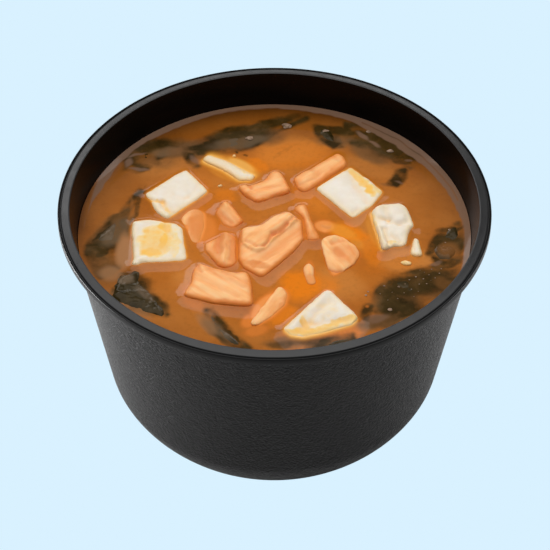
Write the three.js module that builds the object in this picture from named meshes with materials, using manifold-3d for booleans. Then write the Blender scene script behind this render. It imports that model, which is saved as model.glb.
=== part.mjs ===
// Miso soup in a round take-away bowl.
// The bowl is thin black polypropylene with a flat grooved rim and a tucked-in heel. The broth fills it
// to about a centimetre below the rim. Tofu and salmon stand in the broth, each in a pocket cut to its
// own outline, and soft wakame leaves lie on top of it.
// Millimetres, +Z up, origin in the middle of the bowl's underside.

import * as THREE from 'three';
import { mergeVertices } from 'three/addons/utils/BufferGeometryUtils.js';
import Module from 'manifold-3d';

const wasm = await Module();
wasm.setup();

// ---------------------------------------------------------------- driving dimensions

const BOWL_HEIGHT = 70;
const LIP_RADIUS = 59;          // outermost edge of the rim
const MOUTH_RADIUS = 55.7;      // inner edge of the rim
const HEEL_HEIGHT = 14;         // where the side wall starts to tuck in
const HEEL_RADIUS = 47.2;       // outside of the wall at that height
const TAPER = 0.168;            // how much the wall leans out per millimetre of height
const HEEL_TUCK = 6.2;          // how far the heel curls in beyond the taper
const HEEL_POWER = 1.75;
const WALL = 0.9;
const FLOOR = 1.5;
const BOWL_SIDES = 64;

const SOUP_LEVEL = BOWL_HEIGHT - 10.6;
const GAP = 0.3;                // clearance between any two pieces that touch
const SLOPING_GAP = 0.45;       // the same, level with a side that slopes

const LEAF_THICKNESS = 0.5;

const group = new THREE.Group();

// ---------------------------------------------------------------- materials

const matte = (color, roughness) => new THREE.MeshStandardMaterial({ color, roughness, metalness: 0 });
const blackPlastic = () => matte(0x2b2a2b, 0.55);
const brothMaterial = () => matte(0xc87a2a, 0.15);
const tofuMaterial = () => matte(0xf1e8d8, 0.45);
const salmonMaterial = () => matte(0xfbb877, 0.45);
const wakameMaterial = () => matte(0x2c2410, 0.25);

function addMesh(name, geometry, material) {
  const mesh = new THREE.Mesh(geometry, material);
  mesh.name = name;
  group.add(mesh);
}

// ---------------------------------------------------------------- solids from triangles

function geometryFrom(positions, triangles) {
  const geometry = new THREE.BufferGeometry();
  geometry.setAttribute('position', new THREE.Float32BufferAttribute(positions, 3));
  geometry.setIndex(triangles);
  return geometry;
}

// A closed solid through a stack of rings of equal length, counterclockwise from above and listed from
// the bottom up, with a fan from a middle point over each end.
function solidFromRings(rings) {
  const sides = rings[0].length;
  const first = rings[0];
  const last = rings[rings.length - 1];
  const positions = rings.flat(2);
  positions.push(...middle(first), ...middle(last));
  const bottom = rings.length * sides;
  const top = bottom + 1;
  const lastRing = bottom - sides;
  const triangles = [];
  for (let i = 0; i < sides; i++) {
    const next = (i + 1) % sides;
    for (let level = 0; level + 1 < rings.length; level++) {
      const low = level * sides;
      const high = low + sides;
      triangles.push(low + i, low + next, high + next, low + i, high + next, high + i);
    }
    triangles.push(bottom, next, i);
    triangles.push(top, lastRing + i, lastRing + next);
  }
  return geometryFrom(positions, triangles);
}

function middle(ring) {
  const sum = ring.reduce((total, point) => total.map((value, axis) => value + point[axis]), [0, 0, 0]);
  return sum.map((value) => value / ring.length);
}

function toSolid(geometry) {
  const bare = geometry.clone();
  bare.deleteAttribute('normal');
  bare.deleteAttribute('uv');
  const merged = mergeVertices(bare, 1e-4);
  const index = merged.index.array;
  const kept = [];
  for (let i = 0; i < index.length; i += 3) {
    const [a, b, c] = [index[i], index[i + 1], index[i + 2]];
    if (a !== b && b !== c && c !== a) kept.push(a, b, c);
  }
  return new wasm.Manifold(new wasm.Mesh({
    numProp: 3,
    vertProperties: new Float32Array(merged.attributes.position.array),
    triVerts: new Uint32Array(kept),
  }));
}

function toGeometry(solid) {
  const mesh = solid.getMesh();
  return geometryFrom(Array.from(mesh.vertProperties), Array.from(mesh.triVerts));
}

// ---------------------------------------------------------------- bowl

// Outside radius of the side wall: a leaning cone that curls in at the heel.
function wallRadius(z) {
  const above = z - HEEL_HEIGHT;
  const straight = HEEL_RADIUS + TAPER * above;
  if (above >= 0) return straight;
  return straight - HEEL_TUCK * (-above / HEEL_HEIGHT) ** HEEL_POWER;
}

// Inside radius: the wall keeps its thickness, and the heel curve is lifted by the floor's thickness.
function insideRadius(z) {
  const lift = (FLOOR - GAP) * Math.max(0, 1 - z / HEEL_HEIGHT);
  return wallRadius(z - lift) - WALL;
}

// The rim: a flat land that falls slightly outwards, a shallow groove, a small lip and its skirt.
const LAND = { outer: 57.9, fall: 0.45, edge: 0.25 };
const GROOVE = { radius: 58.3, depth: 0.95 };
const LIP = { top: 58.75, drop: 0.5, skirt: 2.4 };

const WALL_HEIGHTS = [4, 8.5, HEEL_HEIGHT, 38];   // where the wall's curve is broken into straight runs

function bowlProfile() {
  const outside = [...WALL_HEIGHTS, BOWL_HEIGHT - LIP.skirt].map((z) => [wallRadius(z), z]);
  const inside = [...WALL_HEIGHTS].reverse().map((z) => [insideRadius(z), z]);
  const rim = [
    [LIP_RADIUS - 0.2, BOWL_HEIGHT - LIP.skirt],
    [LIP_RADIUS, BOWL_HEIGHT - LIP.skirt + 0.2],
    [LIP_RADIUS, BOWL_HEIGHT - LIP.drop - 0.25],
    [LIP.top, BOWL_HEIGHT - LIP.drop],
    [GROOVE.radius + 0.15, BOWL_HEIGHT - GROOVE.depth + 0.1],
    [GROOVE.radius - 0.1, BOWL_HEIGHT - GROOVE.depth],
    [LAND.outer + LAND.edge, BOWL_HEIGHT - LAND.fall - LAND.edge],
    [LAND.outer, BOWL_HEIGHT - LAND.fall],
    [MOUTH_RADIUS + LAND.edge, BOWL_HEIGHT],
    [MOUTH_RADIUS, BOWL_HEIGHT - LAND.edge],
  ];
  const base = wallRadius(0);
  return [
    [0, 0], [base - 0.5, 0], [base, 0.3],
    ...outside, ...rim, ...inside,
    [insideRadius(FLOOR), FLOOR], [0, FLOOR],
  ];
}

function lathe(profile) {
  return new THREE.LatheGeometry(profile.map(([r, z]) => new THREE.Vector2(r, z)), BOWL_SIDES)
    .rotateX(Math.PI / 2);
}

addMesh('bowl', lathe(bowlProfile()), blackPlastic());

// ---------------------------------------------------------------- pieces that stand in the broth

const distance = (a, b) => Math.hypot(b[0] - a[0], b[1] - a[1]);

const BLUNT = Math.PI / 5;      // a corner that turns less than this stays as it is

// Cuts each sharper corner back to three points, so that an outline of corners becomes a soft one.
function softOutline(corners, radius) {
  const signedArea = THREE.ShapeUtils.area(corners.map(([x, y]) => new THREE.Vector2(x, y)));
  const loop = signedArea > 0 ? corners : [...corners].reverse();
  return loop.flatMap((corner, i) => {
    const before = loop[(i + loop.length - 1) % loop.length];
    const after = loop[(i + 1) % loop.length];
    const towards = (other) => {
      const length = distance(corner, other);
      const step = Math.min(radius, 0.4 * length) / length;
      return [corner[0] + (other[0] - corner[0]) * step, corner[1] + (other[1] - corner[1]) * step];
    };
    const heading = (from, to) => Math.atan2(to[1] - from[1], to[0] - from[0]);
    const turn = Math.abs(heading(before, corner) - heading(corner, after));
    if (Math.min(turn, 2 * Math.PI - turn) < BLUNT) return [corner];
    const enter = towards(before);
    const leave = towards(after);
    const round = [0, 1].map((axis) => (enter[axis] + 2 * corner[axis] + leave[axis]) / 4);
    return [enter, round, leave];
  });
}

// A ring of the outline moved out by `reach` (a number, or a function of the outward direction), at the
// height that `level` gives for each point.
function ring(outline, reach, level) {
  return outline.map((point, i) => {
    const before = outline[(i + outline.length - 1) % outline.length];
    const after = outline[(i + 1) % outline.length];
    const run = distance(before, after);
    const outward = [(after[1] - before[1]) / run, (before[0] - after[0]) / run];
    const out = typeof reach === 'function' ? reach(outward) : reach;
    const x = point[0] + outward[0] * out;
    const y = point[1] + outward[1] * out;
    return [x, y, typeof level === 'function' ? level(x, y) : level];
  });
}

// The outline shrunk towards its middle, for the points inside the top face.
function innerRing(outline, share, level) {
  const [cx, cy] = middle(outline.map(([x, y]) => [x, y, 0]));
  return outline.map(([x, y]) => {
    const px = cx + (x - cx) * share;
    const py = cy + (y - cy) * share;
    return [px, py, level(px, py)];
  });
}

const SUNK_RING = 3.2;          // how far below the broth a sloping side reaches its full width
const TOP_SHARE = 0.5;          // size of the ring inside the top face
const POCKET_RISE = 5;          // how far a pocket's cutter stands above the broth

// One piece of food. `corners` is its outline at the broth's surface, `rise` how far its top stands
// above it, `relief` a function that shapes the top, `depth` how far it reaches down, and `slopes` the
// directions in which its sunk side spreads out: [x, y, reach]. A chunk that has split along a cleft
// has an `upperFlake`, a second, higher layer of flesh that ends in that cleft.
function piece({ corners, rise, depth, soft = 1, edge = 0.5, relief = () => 0, slopes = [] }) {
  const outline = softOutline(corners, soft);
  const spread = (outward) => slopes.reduce(
    (most, [x, y, reach]) => Math.max(most, reach * (outward[0] * x + outward[1] * y)), 0);
  const top = (x, y) => SOUP_LEVEL + Math.max(edge + 0.1, rise + relief(x, y));
  const shoulder = (x, y) => top(x, y) - edge;
  const foot = SOUP_LEVEL - depth;
  const sides = slopes.length
    ? [ring(outline, (n) => spread(n) - 0.6, foot), ring(outline, spread, SOUP_LEVEL - SUNK_RING),
      ring(outline, 0, SOUP_LEVEL - 0.2)]
    : [ring(outline, -0.6, foot), ring(outline, 0, foot + 1.5)];
  const body = solidFromRings([
    ...sides,
    ring(outline, 0, shoulder),
    ring(outline, -edge, top),
    innerRing(outline, TOP_SHARE, top),
  ]);
  const widened = (outward) => spread(outward) + SLOPING_GAP;
  const pocket = solidFromRings(slopes.length
    ? [ring(outline, widened, foot - GAP), ring(outline, widened, SOUP_LEVEL - SUNK_RING),
      ring(outline, SLOPING_GAP, SOUP_LEVEL), ring(outline, SLOPING_GAP, SOUP_LEVEL + POCKET_RISE)]
    : [ring(outline, GAP, foot - GAP), ring(outline, GAP, SOUP_LEVEL + POCKET_RISE)]);
  return { body, pocket };
}

// A raised ridge along a line, `height` tall and falling away over `width` to either side.
function ridge([x1, y1], [x2, y2], height, width) {
  const length = Math.hypot(x2 - x1, y2 - y1);
  return (x, y) => {
    const across = ((x - x1) * (y2 - y1) - (y - y1) * (x2 - x1)) / length;
    return height * Math.max(0, 1 - Math.abs(across) / width);
  };
}

// A top that leans: it rises by `slope` millimetres per millimetre in the direction [dx, dy].
function lean([cx, cy], [dx, dy], slope) {
  return (x, y) => ((x - cx) * dx + (y - cy) * dy) * slope;
}

const tofu = {
  tofu_back_left: {
    corners: [[-36.3, 14.3], [-25.1, 24.9], [-18.4, 15.5], [-29.6, 4.0], [-32.6, 6.8], [-34.4, 10.8]],
    rise: 0.9, depth: 9, slopes: [[0.7, -0.7, 0.6]],
  },
  tofu_left: {
    corners: [[-39.4, 3.1], [-34.5, 3.8], [-27.0, 2.2], [-25.3, 0.4], [-23.6, -12.0], [-25.0, -12.7],
      [-36.2, -13.4], [-36.6, -14.5], [-38.9, -14.3], [-38.3, -12.0]],
    rise: 0.8, depth: 10, relief: ridge([-31, -20], [-33, 10], 0.4, 7),
  },
  tofu_back_sunk: {
    corners: [[-20.4, 30.2], [-19.0, 31.5], [-12.4, 28.0], [-5.6, 22.6], [-6.4, 20.8], [-9.8, 20.8],
      [-14.4, 25.2], [-20.2, 29.0]],
    rise: 1.0, depth: 8, soft: 0.7, slopes: [[0.6, 0.8, 4.0], [-0.6, -0.8, 2.6]],
  },
  tofu_back_right: {
    corners: [[11.4, 16.9], [21.4, 26.4], [30.6, 15.8], [26.9, 9.6], [21.6, 4.6]],
    rise: 0.9, depth: 9,
  },
  tofu_right_torn: {
    corners: [[26.7, 7.5], [30.0, 9.9], [35.3, 10.6], [36.6, 9.0], [38.5, 1.6], [37.2, 0.2],
      [35.7, -6.3], [32.6, -6.6], [29.6, -8.4], [27.9, 0.6]],
    rise: 1.3, depth: 10, relief: ridge([33, 12], [31, -9], 0.5, 4), slopes: [[-0.9, -0.4, 1.9]],
  },
  tofu_right_crumb: {
    corners: [[38.3, -2.6], [39.3, -3.4], [40.4, -9.6], [38.6, -10.1], [36.9, -9.3], [37.5, -6.4]],
    rise: 0.7, depth: 4, soft: 0.7, edge: 0.35,
  },
  tofu_front: {
    corners: [[13.8, -24.0], [15.4, -24.6], [22.5, -34.4], [20.8, -36.6], [12.6, -40.0], [7.6, -41.6],
      [4.4, -41.0], [1.9, -38.4]],
    rise: 1.0, depth: 9, relief: lean([12, -33], [0.4, 0.9], 0.05), slopes: [[0, -1, 1.6]],
  },
};

const salmon = {
  salmon_back: {
    corners: [[-10.4, 17.0], [-8.3, 18.3], [-7.2, 17.3], [-2.6, 20.0], [-1.2, 22.8], [0.4, 23.9],
      [2.1, 22.6], [4.4, 15.3], [-4.9, 10.9], [-8.2, 13.6]],
    rise: 1.4, depth: 7, relief: ridge([-9, 15], [3, 18], 0.3, 3),
  },
  salmon_back_right: {
    corners: [[5.2, 21.0], [11.3, 26.1], [17.6, 31.7], [19.3, 30.8], [20.6, 26.9], [10.2, 16.7],
      [8.2, 15.2], [6.4, 16.6]],
    rise: 1.3, depth: 7,
  },
  salmon_left_sunk: {
    corners: [[-25.9, 4.3], [-24.6, 7.7], [-21.6, 8.9], [-19.6, 6.9], [-19.5, 1.3], [-20.6, -4.5],
      [-22.4, -4.9], [-24.4, 0.3]],
    rise: 0.6, depth: 7, edge: 0.4, slopes: [[1, -0.2, 2.4]],
  },
  salmon_left_small: {
    corners: [[-16.5, 7.0], [-14.2, 11.0], [-12.8, 11.0], [-8.5, 3.2], [-9.4, 2.1], [-11.4, 0.4],
      [-14.2, 1.8], [-15.6, 5.0]],
    rise: 0.8, depth: 6, relief: ridge([-13.6, 10.6], [-9.6, 2.6], 0.5, 2.5),
  },
  salmon_left_wedge: {
    corners: [[-19.2, -6.0], [-13.3, -1.7], [-10.6, -2.8], [-10.3, -13.4], [-11.6, -15.0],
      [-13.4, -15.4], [-15.0, -14.6], [-18.9, -8.6]],
    rise: 1.0, depth: 7, relief: ridge([-13.4, -2.5], [-13.8, -15], 0.6, 3.5),
  },
  salmon_middle: {
    corners: [[-9.6, -1.4], [-8.2, 0.2], [-4.0, 1.0], [-0.6, 4.6], [2.9, 6.4], [4.2, 6.2], [7.4, 3.8],
      [8.0, -4.0], [5.2, -9.0], [-2.7, -18.6], [-4.2, -18.5], [-8.4, -15.4], [-9.7, -11.6]],
    rise: 1.4, depth: 9,
    upperFlake: {
      corners: [[-9.1, -2.0], [-7.8, -0.6], [-3.8, 0.1], [-0.4, 3.7], [2.8, 5.5], [4.0, 5.3],
        [6.6, 3.2], [4.4, 0.4], [1.6, -2.8], [-0.4, -5.2], [-2.8, -8.8], [-4.8, -10.2],
        [-7.2, -8.6], [-9.0, -6.0]],
      rise: 2.5, depth: 2,
    },
  },
  salmon_strip: {
    corners: [[5.4, 8.5], [6.4, 10.0], [8.6, 10.4], [10.1, 3.7], [12.2, -2.9], [12.0, -4.0],
      [9.1, -4.2], [8.6, 0.2], [7.9, 4.8]],
    rise: 0.9, depth: 6, soft: 0.7, edge: 0.35,
  },
  salmon_right_tip: {
    corners: [[12.0, 1.3], [12.7, 3.4], [14.0, 4.0], [15.8, 3.1], [16.0, 0.9], [14.2, -0.9],
      [12.7, -0.8]],
    rise: 0.6, depth: 5, edge: 0.4,
  },
  salmon_right: {
    corners: [[12.9, -3.8], [14.2, -2.3], [16.4, -1.9], [18.6, -2.8], [22.2, -5.8], [23.2, -9.0],
      [21.6, -13.0], [16.3, -17.8], [15.2, -17.2], [13.4, -8.6]],
    rise: 1.0, depth: 7, relief: ridge([16, -3], [18, -17], 0.5, 5),
  },
  salmon_finger: {
    corners: [[7.9, -14.8], [8.7, -13.2], [9.9, -13.2], [10.6, -14.4], [10.5, -17.2], [11.1, -20.4],
      [10.2, -21.0], [9.1, -20.7], [8.2, -17.2]],
    rise: 0.8, depth: 4, soft: 0.7, edge: 0.35,
  },
  salmon_front_slab: {
    corners: [[-20.6, -13.7], [-16.4, -15.9], [-10.4, -17.7], [-7.3, -17.3], [-6.4, -20.6],
      [-5.6, -29.0], [-6.9, -30.1], [-16.0, -29.1], [-24.3, -26.1], [-22.4, -21.6], [-21.7, -16.5]],
    rise: 1.5, depth: 7, relief: ridge([-22, -20], [-6, -25], 0.2, 5),
  },
  salmon_front_sliver: {
    corners: [[1.2, -22.1], [2.6, -22.7], [3.3, -25.2], [2.6, -28.7], [-0.6, -32.9], [-4.4, -36.3],
      [-5.8, -36.5], [-6.1, -35.5], [-3.2, -29.9]],
    rise: 0.7, depth: 6, edge: 0.4, relief: ridge([1.4, -22.4], [-5.6, -36.2], 0.5, 2.2),
    slopes: [[0.9, -0.3, 2.2]],
  },
};

const pockets = [];

function addFood(name, spec, material) {
  const { body, pocket } = piece(spec);
  pockets.push(toSolid(pocket));
  if (spec.upperFlake) {
    const flake = piece(spec.upperFlake).body;
    addMesh(name, toGeometry(toSolid(body).add(toSolid(flake))), material);
  } else {
    addMesh(name, body, material);
  }
}

for (const [name, spec] of Object.entries(tofu)) addFood(name, spec, tofuMaterial());
for (const [name, spec] of Object.entries(salmon)) addFood(name, spec, salmonMaterial());

// ---------------------------------------------------------------- broth

function brothProfile() {
  const foot = FLOOR + GAP;
  const heights = [foot, ...WALL_HEIGHTS, SOUP_LEVEL];
  return [[0, foot], ...heights.map((z) => [insideRadius(z) - GAP, z]), [0, SOUP_LEVEL]];
}

let broth = toSolid(lathe(brothProfile()));
for (const pocket of pockets) broth = broth.subtract(pocket);
addMesh('broth', toGeometry(broth), brothMaterial());

// ---------------------------------------------------------------- wakame on the broth

const LEAF_STEPS = 8;           // triangles along a leaf come in this many strips
const LEAF_LANES = 3;           // and in this many lanes across it

// A thin wavy leaf between two edges that are smooth curves through the given points. Both faces are
// split alike. `wave` is how far its ripples lift it off the broth.
function leaf(edgeA, edgeB, wave, ripples, phase) {
  const curve = (points) => new THREE.CatmullRomCurve3(points.map(([x, y]) => new THREE.Vector3(x, y, 0)));
  const sides = [curve(edgeA).getPoints(LEAF_STEPS), curve(edgeB).getPoints(LEAF_STEPS)];
  const grid = [];
  for (let i = 0; i <= LEAF_STEPS; i++) {
    const row = [];
    for (let k = 0; k <= LEAF_LANES; k++) {
      const across = k / LEAF_LANES;
      const point = sides[0][i].clone().lerp(sides[1][i], across);
      const ripple = Math.sin((i / LEAF_STEPS) * ripples * 2 * Math.PI + phase + across * 2.5);
      row.push([point.x, point.y, SOUP_LEVEL + GAP + wave * (0.5 + 0.5 * ripple)]);
    }
    grid.push(row);
  }
  return slabFromGrid(grid, LEAF_THICKNESS);
}

// A closed slab whose lower face is the grid and whose upper face lies `thickness` above it. The grid
// runs so that its rows and then its lanes turn counterclockwise from above, or it is turned over.
function slabFromGrid(grid, thickness) {
  const [origin, along, across] = [grid[0][0], grid[1][0], grid[0][1]];
  const turn = (along[0] - origin[0]) * (across[1] - origin[1])
    - (along[1] - origin[1]) * (across[0] - origin[0]);
  const rows = turn > 0 ? grid : grid.map((row) => [...row].reverse());
  const lanes = rows[0].length;
  const last = rows.length - 1;
  const count = rows.length * lanes;
  const low = rows.flat();
  const positions = [...low.flat(), ...low.flatMap(([x, y, z]) => [x, y, z + thickness])];
  const at = (i, k) => i * lanes + k;
  const triangles = [];
  for (let i = 0; i < last; i++) {
    for (let k = 0; k + 1 < lanes; k++) {
      const [a, b, c, d] = [at(i, k), at(i + 1, k), at(i + 1, k + 1), at(i, k + 1)];
      triangles.push(a, c, b, a, d, c);
      triangles.push(count + a, count + b, count + c, count + a, count + c, count + d);
    }
  }
  const border = [];
  for (let i = 0; i < last; i++) border.push(at(i, 0));
  for (let k = 0; k + 1 < lanes; k++) border.push(at(last, k));
  for (let i = last; i > 0; i--) border.push(at(i, lanes - 1));
  for (let k = lanes - 1; k > 0; k--) border.push(at(0, k));
  border.forEach((a, i) => {
    const b = border[(i + 1) % border.length];
    triangles.push(a, b, count + b, a, count + b, count + a);
  });
  return geometryFrom(positions, triangles);
}

const wakame = {
  wakame_back_left: {
    edges: [
      [[-42.6, 25.6], [-42.9, 29.0], [-39.8, 32.6], [-33.6, 36.4], [-28.4, 35.4]],
      [[-39.0, 24.4], [-36.0, 26.0], [-34.2, 29.2], [-31.6, 31.4], [-28.6, 33.0]],
    ],
    wave: 0.9, ripples: 2,
  },
  wakame_back: {
    edges: [
      [[-24.8, 34.4], [-18.0, 38.4], [-8.0, 42.8], [2.0, 46.0], [9.2, 48.6]],
      [[-21.8, 32.4], [-13.5, 32.8], [-5.4, 36.4], [1.4, 43.0], [9.0, 47.2]],
    ],
    wave: 0.7, ripples: 2.5,
  },
  wakame_back_curl: {
    edges: [
      [[-26.0, 32.6], [-24.8, 29.6], [-22.8, 26.4]],
      [[-23.6, 31.9], [-22.6, 29.2], [-21.6, 27.0]],
    ],
    wave: 0.6, ripples: 1,
  },
  wakame_back_small: {
    edges: [
      [[11.6, 45.0], [16.6, 43.0], [18.6, 37.4]],
      [[12.0, 41.6], [13.6, 38.8], [16.8, 35.4]],
    ],
    wave: 0.5, ripples: 1,
  },
  wakame_back_right: {
    edges: [
      [[20.5, 46.0], [27.2, 44.2], [34.0, 39.4], [39.4, 33.2], [41.4, 28.8]],
      [[19.8, 41.4], [22.0, 37.4], [28.6, 34.0], [34.2, 30.0], [38.2, 26.6]],
    ],
    wave: 1.0, ripples: 2.5,
  },
  wakame_right_small: {
    edges: [
      [[36.8, 26.0], [36.6, 22.6], [34.2, 19.0]],
      [[34.8, 25.4], [33.8, 22.4], [32.2, 20.0]],
    ],
    wave: 0.4, ripples: 1,
  },
  wakame_right: {
    edges: [
      [[50.6, 3.6], [51.6, -2.0], [51.0, -7.0], [48.0, -11.8]],
      [[47.4, 1.8], [43.6, -3.4], [42.6, -8.0], [44.2, -12.2]],
    ],
    wave: 0.8, ripples: 1.5,
  },
  wakame_front_right: {
    edges: [
      [[49.6, -13.8], [48.6, -19.0], [44.8, -25.4], [38.6, -30.6], [30.0, -34.6]],
      [[41.5, -14.6], [34.6, -16.8], [29.4, -20.4], [26.8, -25.8], [27.0, -31.0]],
    ],
    wave: 1.0, ripples: 2,
  },
  wakame_bit: {
    edges: [
      [[24.6, -28.6], [23.8, -31.2], [23.4, -33.4]],
      [[26.0, -29.0], [25.2, -31.6], [24.4, -34.2]],
    ],
    wave: 0.4, ripples: 1,
  },
  wakame_strand: {
    edges: [
      [[-37.8, 16.8], [-40.2, 12.0], [-42.0, 8.6], [-42.2, 4.0], [-41.2, -2.8]],
      [[-37.1, 15.8], [-38.6, 12.0], [-40.4, 8.0], [-40.9, 3.6], [-40.5, -2.6]],
    ],
    wave: 0.6, ripples: 2,
  },
  wakame_left: {
    edges: [
      [[-43.4, 6.0], [-46.6, 1.8], [-50.2, -3.6], [-51.2, -9.0], [-49.6, -14.0], [-46.8, -18.6]],
      [[-42.8, 4.8], [-42.9, 0.0], [-42.2, -4.4], [-41.2, -9.0], [-41.4, -13.4], [-44.0, -17.2]],
    ],
    wave: 0.9, ripples: 2,
  },
  wakame_front_left: {
    edges: [
      [[-41.6, -17.4], [-42.4, -21.6], [-43.4, -26.0], [-38.0, -30.4], [-29.8, -33.8]],
      [[-37.2, -16.8], [-35.8, -21.2], [-33.0, -24.6], [-30.2, -28.6], [-28.4, -32.6]],
    ],
    wave: 1.2, ripples: 2.5,
  },
  wakame_front_strand: {
    edges: [
      [[-18.0, -31.0], [-17.4, -35.6], [-14.6, -40.4], [-10.6, -44.6]],
      [[-16.6, -30.8], [-13.6, -35.8], [-9.8, -40.8], [-6.4, -44.8]],
    ],
    wave: 0.7, ripples: 1.5,
  },
  wakame_front: {
    edges: [
      [[8.6, -43.4], [14.0, -41.6], [20.8, -39.8]],
      [[9.0, -46.2], [14.6, -45.4], [21.2, -42.6]],
    ],
    wave: 0.6, ripples: 1.5,
  },
};

Object.entries(wakame).forEach(([name, { edges, wave, ripples }], order) => {
  addMesh(name, leaf(edges[0], edges[1], wave, ripples, order), wakameMaterial());
});

export default group;
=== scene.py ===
import math

import bpy
import numpy as np
from mathutils import Matrix, Vector, noise
from mathutils.bvhtree import BVHTree


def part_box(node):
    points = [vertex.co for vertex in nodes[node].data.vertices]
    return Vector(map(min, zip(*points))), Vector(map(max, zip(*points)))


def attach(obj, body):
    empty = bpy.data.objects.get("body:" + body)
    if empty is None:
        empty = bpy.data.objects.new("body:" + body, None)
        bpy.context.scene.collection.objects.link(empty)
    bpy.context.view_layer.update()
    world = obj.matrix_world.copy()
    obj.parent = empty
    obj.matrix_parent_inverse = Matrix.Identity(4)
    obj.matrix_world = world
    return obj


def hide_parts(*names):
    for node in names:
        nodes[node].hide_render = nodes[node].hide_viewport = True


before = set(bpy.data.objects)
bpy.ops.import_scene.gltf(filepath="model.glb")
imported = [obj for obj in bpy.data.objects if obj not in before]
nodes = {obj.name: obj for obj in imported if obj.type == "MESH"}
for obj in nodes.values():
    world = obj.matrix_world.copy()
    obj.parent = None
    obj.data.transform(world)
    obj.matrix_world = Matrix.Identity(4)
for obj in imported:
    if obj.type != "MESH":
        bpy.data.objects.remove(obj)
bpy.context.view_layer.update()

# ---------------------------------------------------------------- bowl
# A take-away soup bowl, injection-moulded in black polypropylene under a millimetre thick. The mould
# gives its outside a fine leather grain and leaves the rim, the foot and the inside smooth and satin.

MM = 0.001
bowl_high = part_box("bowl")[1]
RIM_TOP = bowl_high.z
LIP_RADIUS = bowl_high.x
MOUTH_RADIUS = LIP_RADIUS - 3.3 * MM
WALL = 0.9 * MM
FLOOR = 1.5 * MM
HEEL_HEIGHT = 14 * MM
HEEL_RADIUS = 47.2 * MM
TAPER = 0.168
HEEL_TUCK = 6.2 * MM
HEEL_POWER = 1.75
FOOT_BAND = 2.4 * MM             # smooth strip round the bottom
BOWL_SIDES = 192


def wall_radius(z):
    above = z - HEEL_HEIGHT
    straight = HEEL_RADIUS + TAPER * above
    if above >= 0:
        return straight
    return straight - HEEL_TUCK * (-above / HEEL_HEIGHT) ** HEEL_POWER


def inside_radius(z):
    lift = (FLOOR - 0.3 * MM) * max(0.0, 1 - z / HEEL_HEIGHT)
    return wall_radius(z - lift) - WALL


def steps(low, high, count):
    return [low + (high - low) * i / count for i in range(count + 1)]


def bowl_profile():
    skirt = RIM_TOP - 2.4 * MM
    outside = [(wall_radius(z), z) for z in steps(0.5 * MM, HEEL_HEIGHT, 12)]
    outside += [(wall_radius(z), z) for z in steps(HEEL_HEIGHT, skirt, 10)[1:]]
    foot = [(wall_radius(0) - 0.9 * MM, 0.0), (wall_radius(0) - 0.3 * MM, 0.12 * MM)]
    rim = [                      # distance in from the lip, distance down from the top
        (0.22, 2.4), (0.06, 2.34), (0.0, 2.18), (0.0, 0.78), (0.05, 0.62), (0.16, 0.53),
        (0.28, 0.52), (0.4, 0.62), (0.5, 0.8), (0.62, 0.93), (0.75, 0.93), (0.84, 0.82),
        (0.9, 0.66), (0.98, 0.53), (1.1, 0.45), (1.3, 0.41), (2.0, 0.28), (2.75, 0.06),
        (2.95, 0.01), (3.12, 0.03), (3.25, 0.13), (3.3, 0.3),
    ]
    top = [(LIP_RADIUS - inward * MM, RIM_TOP - down * MM) for inward, down in rim]
    inside = [(inside_radius(z), z) for z in steps(RIM_TOP - 1.2 * MM, HEEL_HEIGHT, 10)]
    inside += [(inside_radius(z), z) for z in steps(HEEL_HEIGHT, FLOOR, 8)[1:]]
    return foot + outside + top + inside


def activate(piece):
    bpy.ops.object.select_all(action="DESELECT")
    piece.select_set(True)
    bpy.context.view_layer.objects.active = piece


def edit(piece):
    activate(piece)
    bpy.ops.object.mode_set(mode="EDIT")
    bpy.ops.mesh.select_all(action="SELECT")


def leave_edit():
    bpy.ops.object.mode_set(mode="OBJECT")


# A round shell drawn up from one ring: each further ring is extruded, lifted and resized.
def turned(name, profile, sides):
    radius, height = profile[0]
    bpy.ops.object.select_all(action="DESELECT")
    bpy.ops.mesh.primitive_circle_add(vertices=sides, radius=radius)
    piece = bpy.context.object
    piece.name = name
    edit(piece)
    bpy.ops.transform.translate(value=(0, 0, height))
    bpy.ops.mesh.edge_face_add()
    for (radius, height), (wider, higher) in zip(profile, profile[1:]):
        bpy.ops.mesh.extrude_region_move(TRANSFORM_OT_translate={"value": (0, 0, higher - height)})
        bpy.ops.transform.resize(value=(wider / radius, wider / radius, 1), center_override=(0, 0, 0))
    bpy.ops.mesh.select_all(action="SELECT")
    bpy.ops.mesh.normals_make_consistent(inside=False)
    leave_edit()
    return piece


def smooth(piece, degrees=35):
    activate(piece)
    bpy.ops.object.shade_smooth_by_angle(angle=math.radians(degrees))


# A material with its Principled BSDF; `settings` are the values that are the same all over.
def new_material(name, settings):
    material = bpy.data.materials.new(name)
    material.use_nodes = True
    shader = material.node_tree.nodes["Principled BSDF"]
    for socket, value in settings.items():
        shader.inputs[socket].default_value = value
    return material, shader


def add_node(material, kind, **inputs):
    node = material.node_tree.nodes.new(kind)
    for socket, value in inputs.items():
        node.inputs[socket].default_value = value
    return node


def join(material, source, target):
    material.node_tree.links.new(source, target)


def object_coordinates(material):
    return add_node(material, "ShaderNodeTexCoord").outputs["Object"]


def ramp(material, factor, stops):
    node = material.node_tree.nodes.new("ShaderNodeValToRGB")
    elements = node.color_ramp.elements
    while len(elements) < len(stops):
        elements.new(0.5)
    for element, (place, colour) in zip(elements, stops):
        element.position = place
        element.color = colour if len(colour) == 4 else (*colour, 1)
    join(material, factor, node.inputs["Fac"])
    return node.outputs["Color"]


def bump(material, shader, height, distance, strength=1.0):
    node = add_node(material, "ShaderNodeBump", Strength=strength, Distance=distance)
    join(material, height, node.inputs["Height"])
    join(material, node.outputs["Normal"], shader.inputs["Normal"])


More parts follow.
